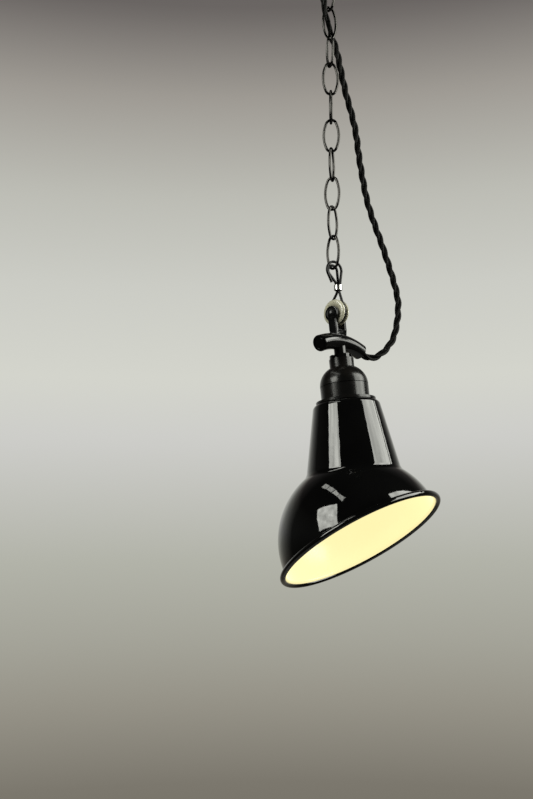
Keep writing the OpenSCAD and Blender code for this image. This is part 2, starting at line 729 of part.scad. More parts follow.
// The ball of the bulb, swept down to its cap
module bulb_shape(inset) {
    cap_foot = bulb_s + bulb_cap_l;
    neck_r = bulb_cap_d / 2 - glass_t;
    run = bulb_ball_s - cap_foot;
    translate([0, 0, -bulb_ball_s]) sphere(d = bulb_d - 2 * inset);
    translate([0, 0, -bulb_ball_s]) rotate_extrude() difference() {
        square([neck_r + bulb_d / 2, run]);
        translate([neck_r + bulb_sweep_r, run]) circle(r = bulb_sweep_r + inset, $fn = 128);
        translate([bulb_d / 2 - inset, -tiny]) square([bulb_d, 2 * run]);
    }
}

module bulb_cap() {
    color("#b8b8b4") in_lamp() {
        lamp_tube(bulb_cap_d - 2 * seat, bulb_cap_d - 2 * seat - 2 * shell_t,
                  bulb_s + glass_t, bulb_s + bulb_cap_l);
        translate([0, 0, -bulb_s - glass_t - shell_t])
            cylinder(d = bulb_cap_d - 2 * seat - tiny, h = shell_t);
        translate([0, 0, -bulb_s - glass_t]) cylinder(d1 = bulb_cap_d / 2, d2 = terminal_d, h = glass_t);
    }
}

module bulb_glass() {
    color("#f6f1dc") in_lamp() difference() {
        bulb_shape(0);
        bulb_shape(glass_t);
    }
}

// The shade without its rim: a shouldered neck whose cone runs on into a ball, as far as its middle
module shade_shape(inset) {
    top_r = neck_top_d / 2;
    slope = (neck_foot_d - neck_top_d) / 2 / (neck_h - shoulder_r);
    cone_h = bowl_drop - shoulder_r;
    translate([0, 0, -bowl_s])
        cylinder(r1 = top_r + slope * cone_h - inset, r2 = top_r - inset, h = cone_h);
    translate([0, 0, -shade_s - shoulder_r]) rotate_extrude() {
        translate([top_r - shoulder_r, 0]) intersection() {
            circle(r = shoulder_r - inset);
            square(shoulder_r);
        }
        square([top_r - shoulder_r + tiny, shoulder_r - inset]);
    }
    translate([0, 0, -bowl_s]) sphere(r = bowl_r - inset, $fn = 128);
}

module shade() {
    color("#0b0b0c") in_lamp() rotate([0, 0, shade_turn]) {
        difference() {
            shade_shape(0);
            shade_shape(shade_wall);
            cylinder(d = sleeve_d + 2 * fit, h = 2 * bowl_s, center = true);
            translate([0, 0, -bowl_s]) rotate([0, -rim_slant, 0]) translate([-far / 2, -far / 2, -far])
                cube([far, far, far]);
        }
        translate([0, 0, -bowl_s]) rotate([0, -rim_slant, 0]) rotate_extrude($fn = 128) {
            translate([lip_r, 0]) circle(d = bead_d, $fn = 32);
            translate([lip_in_r, -shade_wall / 2]) square([lip_out_r - lip_in_r, shade_wall]);
        }
    }
}

ceiling_plate();
ceiling_hook();
hook_locknut();
cord_bush();
flex_cord();
for (i = [1 : link_count]) chain_link(i);
wire_sling();
ferrule();
bobbin();
fork();
pivot_bolt();
pivot_nut();
cord_horn();
horn_plug();
cord_grip();
cord_tail();
stem_tube();
stem_locknut();
holder_cap();
holder_body();
shade_ring();
holder_core();
screw_shell();
centre_contact();
terminal_screws();
bulb_cap();
bulb_glass();
shade();
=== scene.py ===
# %% [markdown]
# # A black enamel pendant light on a chain
#
# The lamp hangs from a ceiling hook on a chain of oval links. A twisted fabric cord runs down beside the chain and
# goes into a cross tube, the horn, above the lampholder. The solids come in as a fixed frame, and each step below
# gives one piece or finish its looks. A piece is never moved: its place is in its mesh.

# %% Load the frame
import math
from itertools import accumulate

import bmesh
import bpy
from mathutils import Matrix, Vector
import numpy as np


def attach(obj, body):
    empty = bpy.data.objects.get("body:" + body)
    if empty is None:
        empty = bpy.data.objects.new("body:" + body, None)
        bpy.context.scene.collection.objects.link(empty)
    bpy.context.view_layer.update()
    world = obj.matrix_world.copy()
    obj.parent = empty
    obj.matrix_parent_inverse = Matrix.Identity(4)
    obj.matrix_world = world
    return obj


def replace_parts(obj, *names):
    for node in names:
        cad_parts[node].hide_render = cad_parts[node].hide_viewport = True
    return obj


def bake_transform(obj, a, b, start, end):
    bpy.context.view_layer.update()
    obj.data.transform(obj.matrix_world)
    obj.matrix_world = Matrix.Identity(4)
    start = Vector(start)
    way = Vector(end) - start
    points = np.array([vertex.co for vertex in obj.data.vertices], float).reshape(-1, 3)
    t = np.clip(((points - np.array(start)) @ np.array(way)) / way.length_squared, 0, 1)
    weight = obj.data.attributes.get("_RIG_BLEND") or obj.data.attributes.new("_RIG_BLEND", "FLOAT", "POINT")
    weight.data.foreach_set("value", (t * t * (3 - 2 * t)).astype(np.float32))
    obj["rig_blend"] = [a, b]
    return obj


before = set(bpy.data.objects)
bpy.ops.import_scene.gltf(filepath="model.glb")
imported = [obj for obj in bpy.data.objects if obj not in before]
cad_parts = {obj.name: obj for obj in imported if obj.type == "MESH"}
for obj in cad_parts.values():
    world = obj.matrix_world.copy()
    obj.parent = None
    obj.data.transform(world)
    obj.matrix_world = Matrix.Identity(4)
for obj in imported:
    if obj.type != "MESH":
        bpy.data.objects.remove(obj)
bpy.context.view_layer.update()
scene = bpy.context.scene
scene.view_settings.view_transform = "Standard"
for leftover in ("Cube", "Light", "Camera"):
    if leftover in bpy.data.objects:
        bpy.data.objects.remove(bpy.data.objects[leftover])

# %% [markdown]
# ## Camera
#
# The photograph was taken from a little below the lamp, looking slightly up. A focal length in pixels and the
# image's height give the lens, so the render has the same perspective. The three turns are a heading, a tilt and a
# very small roll, in that order.

# %% Camera
MM = 0.001
IMAGE_H = 799
FOCAL_PX = 919
SENSOR = 36
CAMERA_AT = Vector((474.2, -614, -509.2)) * MM
HEADING, TILT, ROLL = math.radians(42), math.radians(7.12), math.radians(-0.352)

camera_data = bpy.data.cameras.new("camera")
camera_data.sensor_width = SENSOR
camera_data.lens = FOCAL_PX * SENSOR / IMAGE_H
camera_data.clip_start = 0.01
camera = bpy.data.objects.new("camera", camera_data)
scene.collection.objects.link(camera)
camera_turn = (
    Matrix.Rotation(HEADING, 4, "Z")
    @ Matrix.Rotation(math.pi / 2 + TILT, 4, "X")
    @ Matrix.Rotation(ROLL, 4, "Z")
)
camera.matrix_world = Matrix.Translation(CAMERA_AT) @ camera_turn
scene.camera = camera
print("lens", round(camera_data.lens, 2), "mm")

# %% [markdown]
# ## Node helpers
#
# Every finish below is a small tree of shader nodes. One helper adds a node and fills its sockets, either with a
# plain value or with a link from another node. A second one starts a material with a Principled shader, and a third
# starts a node group with named sockets.


# %% Node helpers
def add(tree, kind, inputs=None, **settings):
    made = tree.nodes.new(kind)
    for key, value in settings.items():
        setattr(made, key, value)
    for key, value in (inputs or {}).items():
        if isinstance(value, bpy.types.NodeSocket):
            tree.links.new(value, made.inputs[key])
        else:
            made.inputs[key].default_value = value
    return made


def mix_colours(tree, factor, first, second):
    made = add(tree, "ShaderNodeMix", data_type="RGBA")
    for socket, value in ((made.inputs[0], factor), (made.inputs[6], first), (made.inputs[7], second)):
        if isinstance(value, bpy.types.NodeSocket):
            tree.links.new(value, socket)
        else:
            socket.default_value = value
    return made.outputs[2]


def new_material(name, **sockets):
    material = bpy.data.materials.new(name)
    material.use_nodes = True
    tree = material.node_tree
    tree.nodes.clear()
    shader = add(tree, "ShaderNodeBsdfPrincipled", sockets)
    add(tree, "ShaderNodeOutputMaterial", {"Surface": shader.outputs["BSDF"]})
    return material, tree, shader


def new_group(name, inputs, outputs):
    group = bpy.data.node_groups.new(name, "ShaderNodeTree")
    for label, kind, value in inputs:
        socket = group.interface.new_socket(label, in_out="INPUT", socket_type=kind)
        if value is not None:
            socket.default_value = value
    for label, kind in outputs:
        group.interface.new_socket(label, in_out="OUTPUT", socket_type=kind)
    return group, group.nodes.new("NodeGroupInput"), group.nodes.new("NodeGroupOutput")


def grey(level):
    return (level, level, level, 1)


# %% [markdown]
# ## Studio
#
# The lamp hangs in front of a lit grey wall. Its light fades upwards and downwards, so the world holds the wall as a
# gradient of height. Gloss black shows what stands round it, so for reflections the room away from the wall is dim.
# For the eye it stays the same all round, so that the lamp shows well from every side.

# %% Backdrop
WALL_STEPS = (
    (-40, (0.15, 0.14, 0.115)), (-15.7, (0.195, 0.181, 0.15)), (-10.9, (0.305, 0.29, 0.245)),
    (-7.5, (0.37, 0.365, 0.315)), (-2.8, (0.445, 0.45, 0.395)), (4.6, (0.61, 0.61, 0.585)),
    (8.3, (0.655, 0.66, 0.605)), (13.9, (0.6, 0.605, 0.56)), (19.4, (0.505, 0.505, 0.46)),
    (25.2, (0.345, 0.325, 0.295)), (30.1, (0.145, 0.132, 0.125)), (45, (0.11, 0.105, 0.1)),
)
WALL_ENDS, ROOM_ENDS, ROOM_SHARE = 25, 65, 0.06

world = bpy.data.worlds.new("studio")
scene.world = world
world.use_nodes = True
sky = world.node_tree
sky.nodes.clear()
AWAY = Vector((-math.sin(HEADING), math.cos(HEADING), 0))
RIGHT = Vector((math.cos(HEADING), math.sin(HEADING), 0))
UP = Vector((0, 0, 1))
way = add(sky, "ShaderNodeTexCoord").outputs["Generated"]
rise = add(sky, "ShaderNodeMath", {
    0: add(sky, "ShaderNodeVectorMath", {0: way, 1: UP}, operation="DOT_PRODUCT").outputs["Value"]},
    operation="ARCSINE").outputs[0]
place = add(sky, "ShaderNodeMapRange", {"Value": rise, "From Min": -math.pi / 2, "From Max": math.pi / 2})
ramp = add(sky, "ShaderNodeValToRGB", {"Fac": place.outputs["Result"]})
while len(ramp.color_ramp.elements) < len(WALL_STEPS):
    ramp.color_ramp.elements.new(1)
for element, (degrees, colour) in zip(ramp.color_ramp.elements, WALL_STEPS):
    element.position = (degrees + 90) / 180
    element.color = (*colour, 1)
off_wall = add(sky, "ShaderNodeMath", {
    0: add(sky, "ShaderNodeVectorMath", {0: way, 1: AWAY}, operation="DOT_PRODUCT").outputs["Value"]},
    operation="ARCCOSINE").outputs[0]
dimming = add(sky, "ShaderNodeMapRange", {
    "Value": off_wall, "From Min": math.radians(WALL_ENDS), "From Max": math.radians(ROOM_ENDS),
    "To Min": 1.0, "To Max": ROOM_SHARE}).outputs["Result"]
seen = add(sky, "ShaderNodeLightPath").outputs["Is Camera Ray"]
level = add(sky, "ShaderNodeMath", {0: seen, 1: dimming}, operation="MAXIMUM").outputs[0]
air = add(sky, "ShaderNodeBackground", {"Color": ramp.outputs["Color"], "Strength": level})
add(sky, "ShaderNodeOutputWorld", {"Surface": air.outputs[0]})
print("wall in", len(WALL_STEPS), "steps of height")

# %% [markdown]
# ## Softboxes
#
# Two large soft lights give the long highlights on the neck, a narrow strip the one on the horn, and four small strips
# in a row the band on the bowl. Each is set by the direction in which the black surface mirrors it: a heading from the
# way the camera looks, a height above the horizon, the two angles that it fills, and a roll. Its power follows from
# its brightness and its area. Its cloth is a slightly yellow white and a little uneven.

# %% Softboxes
LAMP_AT = Vector((10, 4.5, -430)) * MM
LIGHT_DISTANCE = 1.7
CLOTH = (0.99, 1.0, 0.92, 1)
SOFTBOXES = (
    ("softbox_left", -123.5, 27.3, 27, 28.5, 26, 7.3),
    ("softbox_right", 103, 24.4, 44, 53, -22, 6.3),
    ("strip_horn", 74, 20.5, 4, 26, -39, 4.3),
    ("strip_1", -72, 55.3, 10, 5, 25, 3.0),
    ("strip_2", -91.4, 58.5, 10, 5, 9.7, 3.5),
    ("strip_3", -112.6, 58.5, 10, 5, -9.7, 5.0),
    ("strip_4", -132, 55.3, 10, 5, -25, 4.0),
)


def softbox(name, heading, height, wide, tall, roll, brightness):
    a, e = math.radians(heading), math.radians(height)
    way_to = (AWAY * math.cos(a) + RIGHT * math.sin(a)) * math.cos(e) + UP * math.sin(e)
    light = bpy.data.lights.new(name, "AREA")
    light.shape = "RECTANGLE"
    light.size = 2 * LIGHT_DISTANCE * math.tan(math.radians(wide / 2))
    light.size_y = 2 * LIGHT_DISTANCE * math.tan(math.radians(tall / 2))
    light.energy = brightness * math.pi * light.size * light.size_y
    light.use_nodes = True
    cloth = light.node_tree
    cloth.nodes.clear()
    weave = add(cloth, "ShaderNodeTexNoise", {
        "Vector": add(cloth, "ShaderNodeNewGeometry").outputs["Parametric"], "Scale": 3.0, "Detail": 3.0})
    level = add(cloth, "ShaderNodeMapRange", {
        "Value": weave.outputs["Fac"], "From Min": 0.3, "From Max": 0.7, "To Min": 0.65, "To Max": 1.35})
    glow = add(cloth, "ShaderNodeEmission", {"Color": CLOTH, "Strength": level.outputs["Result"]})
    add(cloth, "ShaderNodeOutputLight", {"Surface": glow.outputs[0]})
    made = bpy.data.objects.new(name, light)
    scene.collection.objects.link(made)
    made.matrix_world = (
        Matrix.Translation(LAMP_AT + way_to * LIGHT_DISTANCE)
        @ way_to.to_track_quat("Z", "Y").to_matrix().to_4x4()
        @ Matrix.Rotation(math.radians(roll), 4, "Z"))
    made.visible_camera = False
    print(name, "power", round(light.energy, 1))


for settings in SOFTBOXES:
    softbox(*settings)

# %% [markdown]
# ## Floor
#
# A pale round floor lies well below the lamp and throws a little light back up. It isn't part of the object.

# %% Floor
FLOOR_Z, FLOOR_R, FLOOR_SIDES = -2.9, 2.6, 96
floor_paint, tree, shader = new_material("pale_floor", Roughness=0.8)
mottle = add(tree, "ShaderNodeTexNoise", {
    "Vector": add(tree, "ShaderNodeTexCoord").outputs["Object"], "Scale": 3.0, "Detail": 6.0})
tree.links.new(mix_colours(tree, mottle.outputs["Fac"], grey(0.62), grey(0.7)), shader.inputs["Base Color"])
bm = bmesh.new()
bmesh.ops.create_circle(bm, cap_ends=True, segments=FLOOR_SIDES, radius=FLOOR_R)
bmesh.ops.translate(bm, verts=bm.verts, vec=(0, 0, FLOOR_Z))
floor_mesh = bpy.data.meshes.new("floor")
bm.to_mesh(floor_mesh)
bm.free()
floor = bpy.data.objects.new("floor", floor_mesh)
floor_mesh.materials.append(floor_paint)
scene.collection.objects.link(floor)
print("floor", FLOOR_R, "m round")

# %% [markdown]
# ## Shared effects
#
# Real finishes are never one flat colour. Two groups are built once and used by most materials: one gives slow
# patches and small specks, for handling marks and dust, and the other a fine height for grain and orange peel.

# %% Wear and grain
wear_group, wear_in, wear_out = new_group(
    "patches_and_specks",
    [("Vector", "NodeSocketVector", None), ("Patch Scale", "NodeSocketFloat", 40.0),
     ("Speck Scale", "NodeSocketFloat", 600.0), ("Speck Size", "NodeSocketFloat", 0.12)],
    [("Patches", "NodeSocketFloat"), ("Specks", "NodeSocketFloat")],
)
slow = add(wear_group, "ShaderNodeTexNoise", {
    "Vector": wear_in.outputs["Vector"], "Scale": wear_in.outputs["Patch Scale"], "Detail": 5.0, "Roughness": 0.6})
patches = add(wear_group, "ShaderNodeMapRange", {
    "Value": slow.outputs["Fac"], "From Min": 0.35, "From Max": 0.68}, interpolation_type="SMOOTHSTEP")
cells = add(wear_group, "ShaderNodeTexVoronoi", {
    "Vector": wear_in.outputs["Vector"], "Scale": wear_in.outputs["Speck Scale"]})
specks = add(wear_group, "ShaderNodeMath", {
    0: cells.outputs["Distance"], 1: wear_in.outputs["Speck Size"]}, operation="LESS_THAN")
wear_group.links.new(patches.outputs["Result"], wear_out.inputs["Patches"])
wear_group.links.new(specks.outputs["Value"], wear_out.inputs["Specks"])

BROAD_SHARE, BROAD_SCALE = 0.3, 0.1
grain_group, grain_in, grain_out = new_group(
    "fine_grain",
    [("Vector", "NodeSocketVector", None), ("Scale", "NodeSocketFloat", 800.0)],
    [("Height", "NodeSocketFloat")],
)
fine = add(grain_group, "ShaderNodeTexNoise", {
    "Vector": grain_in.outputs["Vector"], "Scale": grain_in.outputs["Scale"], "Detail": 1.0})
wider = add(grain_group, "ShaderNodeMath", {0: grain_in.outputs["Scale"], 1: BROAD_SCALE}, operation="MULTIPLY")
broad = add(grain_group, "ShaderNodeTexNoise", {
    "Vector": grain_in.outputs["Vector"], "Scale": wider.outputs[0], "Detail": 2.0})
both = add(grain_group, "ShaderNodeMix", {0: BROAD_SHARE, 2: fine.outputs["Fac"], 3: broad.outputs["Fac"]})
grain_group.links.new(both.outputs[0], grain_out.inputs["Height"])
print("groups", wear_group.name, "and", grain_group.name)


# %% [markdown]
# ## One recipe for paint, plating and moulded plastic
#
# Paint, enamel, bakelite and plated wire differ in their numbers more than in their nodes. The recipe mixes two
# near colours by the patches, lays specks of dust over them, moves the roughness a little the same way, and bumps
# the surface with the grain. What is the same all over, such as metal or coat, is set on the shader itself.

# %% Finish recipe
SPECKS_TO_PATCHES, SPECK_SIZE = 14, 0.1


def finish(name, colour, shift, dust, rough, patch_scale, grain_scale, bump, dust_amount=0.3, **sockets):
    """Colour and shift are two near colours, rough the ends of the roughness, bump a strength and a distance."""
    material, tree, shader = new_material(name, **sockets)
    place = add(tree, "ShaderNodeTexCoord").outputs["Object"]
    wear = add(tree, "ShaderNodeGroup", {
        "Vector": place, "Patch Scale": patch_scale, "Speck Scale": patch_scale * SPECKS_TO_PATCHES,
        "Speck Size": SPECK_SIZE}, node_tree=wear_group)
    worn = mix_colours(tree, wear.outputs["Patches"], colour, shift)
    settled = add(tree, "ShaderNodeMath", {0: wear.outputs["Specks"], 1: dust_amount}, operation="MULTIPLY")
    tree.links.new(mix_colours(tree, settled.outputs[0], worn, dust), shader.inputs["Base Color"])
    level = add(tree, "ShaderNodeMapRange", {
        "Value": wear.outputs["Patches"], "To Min": rough[0], "To Max": rough[1]})
    tree.links.new(level.outputs["Result"], shader.inputs["Roughness"])
    grain = add(tree, "ShaderNodeGroup", {"Vector": place, "Scale": grain_scale}, node_tree=grain_group)
    relief = add(tree, "ShaderNodeBump", {
        "Height": grain.outputs["Height"], "Strength": bump[0], "Distance": bump[1]})
    tree.links.new(relief.outputs["Normal"], shader.inputs["Normal"])
    return material


enamel_black = finish(
    "enamel_black", grey(0.0022), grey(0.003), grey(0.03), (0.03, 0.05), 30, 150, (0.14, 0.0008),
    dust_amount=0.05, **{"IOR": 1.5, "Coat Weight": 0.3, "Coat Roughness": 0.03})
gloss_black = finish(
    "gloss_black", grey(0.003), grey(0.005), grey(0.05), (0.06, 0.1), 60, 120, (0.04, 0.0003), dust_amount=0.05)
bakelite_black = finish(
    "bakelite_black", grey(0.004), (0.007, 0.006, 0.005, 1), grey(0.05), (0.18, 0.26), 45, 900, (0.06, 0.0002),
    dust_amount=0.1, **{"Specular IOR Level": 0.4})
moulded_black = finish(
    "moulded_black", grey(0.008), grey(0.012), grey(0.04), (0.45, 0.55), 80, 1200, (0.2, 0.0002))
black_nickel = finish(
    "black_nickel", (0.055, 0.053, 0.05, 1), (0.07, 0.068, 0.065, 1), grey(0.05), (0.12, 0.18), 60, 120, (0.03, 0.0001),
    dust_amount=0.02, Metallic=1.0, **{"Specular Tint": grey(0.15)})
sling_wire_black = finish(
    "sling_wire_black", grey(0.003), grey(0.005), grey(0.05), (0.3, 0.4), 200, 900, (0.05, 0.0001),
    dust_amount=0.05, **{"Specular IOR Level": 0.25})
bright_crimp = finish(
    "bright_crimp", (0.8, 0.8, 0.77, 1), (0.62, 0.62, 0.6, 1), grey(0.3), (0.16, 0.34), 300, 1500, (0.25, 0.0002),
    Metallic=1.0)
blackened_steel = finish(
    "blackened_steel", grey(0.015), grey(0.03), grey(0.1), (0.16, 0.26), 200, 1500, (0.08, 0.0001), Metallic=0.6)
plain_brass = finish(
    "plain_brass", (0.72, 0.5, 0.2, 1), (0.55, 0.36, 0.13, 1), grey(0.2), (0.2, 0.35), 150, 900, (0.1, 0.0002),
    Metallic=1.0)
print(len(bpy.data.materials), "materials so far")

# %% [markdown]
# ## Porcelain
#
# The bobbin is glazed porcelain, cream and a little darker where the glaze is thin. A fine net of crazing lies in the
# glaze, made from the edges of small cells. Painted shade darkens the colour where the surface is shut in, so the
# groove is dark, and a clear coat gives its wet shine.

# %% Porcelain
porcelain, tree, shader = new_material("porcelain", **{"Coat Weight": 0.6, "Coat Roughness": 0.08})
place = add(tree, "ShaderNodeTexCoord").outputs["Object"]
cloud = add(tree, "ShaderNodeTexNoise", {"Vector": place, "Scale": 130.0, "Detail": 4.0})
tone = mix_colours(tree, cloud.outputs["Fac"], (0.56, 0.54, 0.39, 1), (0.72, 0.69, 0.54, 1))
crazing = add(tree, "ShaderNodeTexVoronoi", {"Vector": place, "Scale": 420.0}, feature="DISTANCE_TO_EDGE")
crack = add(tree, "ShaderNodeMapRange", {
    "Value": crazing.outputs["Distance"], "From Max": 0.03, "To Min": 0.15, "To Max": 0.0})
crazed = mix_colours(tree, crack.outputs["Result"], tone, (0.3, 0.24, 0.14, 1))
# Painted shade: ambient occlusion turns the colour dark brown in the groove and other shut-in places.
painted_groove_shade = add(tree, "ShaderNodeAmbientOcclusion", {"Distance": 0.004}).outputs["AO"]
tree.links.new(mix_colours(tree, painted_groove_shade, (0.06, 0.05, 0.03, 1), crazed), shader.inputs["Base Color"])
level = add(tree, "ShaderNodeMapRange", {"Value": cloud.outputs["Fac"], "To Min": 0.12, "To Max": 0.3})
tree.links.new(level.outputs["Result"], shader.inputs["Roughness"])
relief = add(tree, "ShaderNodeBump", {"Height": cloud.outputs["Fac"], "Strength": 0.1, "Distance": 0.0003})
tree.links.new(relief.outputs["Normal"], shader.inputs["Normal"])
print("porcelain with crazing")

# %% [markdown]
# ## Lit enamel and lit glass
#
# The inside of the shade is white enamel, and the bulb lights it to a warm even glow. The glow is emission on the
# enamel itself, so the inside looks the same from every side. The bulb's frosted glass is brighter still.

# %% Lit surfaces
enamel_lit, tree, shader = new_material("enamel_lit", **{"Roughness": 0.25, "Emission Strength": 1.0})
place = add(tree, "ShaderNodeTexCoord").outputs["Object"]
cloud = add(tree, "ShaderNodeTexNoise", {"Vector": place, "Scale": 25.0, "Detail": 3.0})
tree.links.new(
    mix_colours(tree, cloud.outputs["Fac"], (0.1, 0.1, 0.08, 1), (0.14, 0.14, 0.11, 1)), shader.inputs["Base Color"])
tree.links.new(
    mix_colours(tree, cloud.outputs["Fac"], (0.96, 0.845, 0.41, 1), (0.98, 0.86, 0.44, 1)),
    shader.inputs["Emission Color"])

glass_lit, tree, shader = new_material("glass_lit", **{"Roughness": 0.4, "Emission Strength": 2.0})
place = add(tree, "ShaderNodeTexCoord").outputs["Object"]
frost = add(tree, "ShaderNodeTexNoise", {"Vector": place, "Scale": 60.0, "Detail": 4.0})
tree.links.new(
    mix_colours(tree, frost.outputs["Fac"], (0.95, 0.92, 0.75, 1), (1.0, 0.98, 0.85, 1)), shader.inputs["Base Color"])
tree.links.new(
    mix_colours(tree, frost.outputs["Fac"], (1.0, 0.93, 0.6, 1), (1.0, 0.97, 0.7, 1)),
    shader.inputs["Emission Color"])
print("lit enamel and lit glass")

# %% [markdown]
# ## Finishes on the solids
#
# Most solids have the right shape already, so they only get their finish. The names of the pieces are grouped by
# what the real ones are made of.

# %% Finishes on the solids
SOLID_FINISHES = {
    gloss_black: ["ceiling_plate", "ceiling_hook", "hook_locknut", "cord_horn", "horn_plug", "stem_tube",
                  "stem_locknut"],
    moulded_black: ["cord_bush", "cord_grip", "cord_tail"],
    black_nickel: [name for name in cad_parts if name.startswith("chain_link")],
    sling_wire_black: ["wire_sling"],
    bright_crimp: ["ferrule"],
    porcelain: ["holder_core"],
    blackened_steel: ["pivot_bolt", "pivot_nut"],
    bakelite_black: ["holder_cap", "holder_body", "shade_ring"],
    plain_brass: ["screw_shell", "centre_contact", "terminal_screws", "bulb_cap"],
    glass_lit: ["bulb_glass"],
}
for material, names in SOLID_FINISHES.items():
    for name in names:
        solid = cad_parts[name]
        solid.data.materials.clear()
        solid.data.materials.append(material)
    print(material.name, "on", len(names), "solids")

# %% [markdown]
# ## Cord
#
# The cord is three fabric-covered strands twisted round each other. Its route is the solid's: it leaves the ceiling,
# passes through the chain, swings out to the side and comes back into the horn. A smooth line is drawn through the
# route's points, and each strand is a ring that is extruded step by step along a helix round that line. Every joint
# of the chain bends the cord, so it is made in lengths, and each length bends across one joint. The lengths are longer
# at the top and at the two joints that move the cord most.

# %% Cord route
CORD_D = 5 * MM
ROUTE = [Vector(p) * MM for p in (
    (-12.6, -18, -5), (-12.6, -18, -16), (-11.5, -17, -26), (-8, -14.5, -35), (-3, -11.5, -43.5), (0.5, -10, -52),
    (1.5, -9.5, -61), (1.7, -8, -69.5), (1.6, -4.4, -74.5), (-0.1, -0.3, -77.5), (-2, 3.4, -81), (-2.3, 6.8, -85.5),
    (-1.1, 9.8, -93), (-0.2, 12.6, -103), (0.3, 16.4, -117), (1, 21.6, -134), (1.9, 27.8, -150), (2.5, 33.1, -167),
    (2.1, 37.9, -188), (2.1, 43, -208), (2.9, 48, -227), (5.4, 53.5, -245), (8.9, 59, -263), (11.9, 64.5, -281),
    (14.4, 68, -295), (16.9, 70.5, -309), (18.1, 71.3, -320), (18.3, 70.3, -331), (17.7, 68.3, -342),
    (16.4, 64.3, -354), (13.4, 58.1, -363.5), (9.3, 51.5, -370), (5.4, 45.2, -372.4), (2.9, 39.5, -371),
    (2.4, 33.5, -368.6), (2.2, 27.5, -366.6), (2.1, 22, -365.1))]
STEPS_BETWEEN = 16


def through(points):
    """A smooth line through the points, as many short steps."""
    padded = [2 * points[0] - points[1], *points, 2 * points[-1] - points[-2]]
    line = []
    for a, b, c, d in zip(padded, padded[1:], padded[2:], padded[3:]):
        for k in range(STEPS_BETWEEN):
            t = k / STEPS_BETWEEN
            line.append(0.5 * (
                2 * b + (c - a) * t + (2 * a - 5 * b + 4 * c - d) * t ** 2 + (3 * b - a - 3 * c + d) * t ** 3))
    return [*line, points[-1]]


line = through(ROUTE)
reach = [0.0]
for a, b in zip(line, line[1:]):
    reach.append(reach[-1] + (b - a).length)
CORD_LENGTH = reach[-1]


def along(distance):
    """The point at a distance along the cord's middle line."""
    k = max(i for i, r in enumerate(reach[:-1]) if r <= distance)
    t = min(1, (distance - reach[k]) / (reach[k + 1] - reach[k]))
    return line[k].lerp(line[k + 1], t)


print("cord", round(CORD_LENGTH * 1000), "mm long")

# %% [markdown]
# The rings need a frame that doesn't spin by itself, or the twist would come out uneven. Each new frame is the last
# one turned by the smallest turn that follows the line, and the twist is added on top of it. Three strands with the
# section of the plain cord reach out further than it, and the bush, one link and the grip press them together.

# %% Cord frames
RING_STEP, LOOK_STEP = 1.5 * MM, 0.5 * MM
LAY_LENGTH = 38 * MM
STRANDS, STRAND_SIDES = 3, 12
CIRCLE_ROUND_THREE = 1 + 2 / math.sqrt(3)
LOOSE_R, PRESSED_R, EASE = 3.15 * MM, CORD_D / 2, 12 * MM
PRESSED = ((0, 10 * MM), (74 * MM, 8 * MM), (CORD_LENGTH, 4 * MM))
LENGTHS = [length * MM for length in (45, *[30.2] * 7, 45, 30.2, 53.4)]
BODIES = ["ceiling", *(f"link_{i:02d}" for i in range(1, 11)), "sling", "lamp"]

cuts = [0, *accumulate(LENGTHS), CORD_LENGTH]
stations = []
for start, end in zip(cuts, cuts[1:]):
    count = max(2, round((end - start) / RING_STEP))
    stations.append([start + (end - start) * k / count for k in range(count + 1)])


def tangent(distance):
    return (along(min(distance + LOOK_STEP, CORD_LENGTH)) - along(max(distance - LOOK_STEP, 0))).normalized()


frames = {}
side = tangent(0).orthogonal().normalized()
last = tangent(0)
for distance in sorted({d for length in stations for d in length}):
    ahead = tangent(distance)
    side = last.rotation_difference(ahead) @ side
    side = (side - ahead * side.dot(ahead)).normalized()
    frames[distance] = (along(distance), side, ahead)
    last = ahead
print(len(frames), "rings along the cord")


# %% Strand lengths
def cord_r(distance):
    """How far the strands reach out from the middle line at a distance along the cord."""
    clear = min(abs(distance - middle) - half for middle, half in PRESSED)
    t = min(1, max(0, clear / EASE))
    return PRESSED_R + (LOOSE_R - PRESSED_R) * t * t * (3 - 2 * t)


def ring_place(distance, number):
    """Where a strand's ring lies, how it is turned and its radius, at a distance along the cord."""
    centre, side, ahead = frames[distance]
    turn = 2 * math.pi * (distance / LAY_LENGTH + number / STRANDS)
    out = Matrix.Rotation(turn, 3, ahead) @ side
    strand_r = cord_r(distance) / CIRCLE_ROUND_THREE
    radius = cord_r(distance) - strand_r
    lean = math.atan(2 * math.pi * radius / LAY_LENGTH)
    ahead = Matrix.Rotation(lean, 3, out) @ ahead
    turned = Matrix((out, ahead.cross(out), ahead)).transposed().to_4x4()
    return Matrix.Translation(centre + out * radius) @ turned @ Matrix.Scale(strand_r, 4)


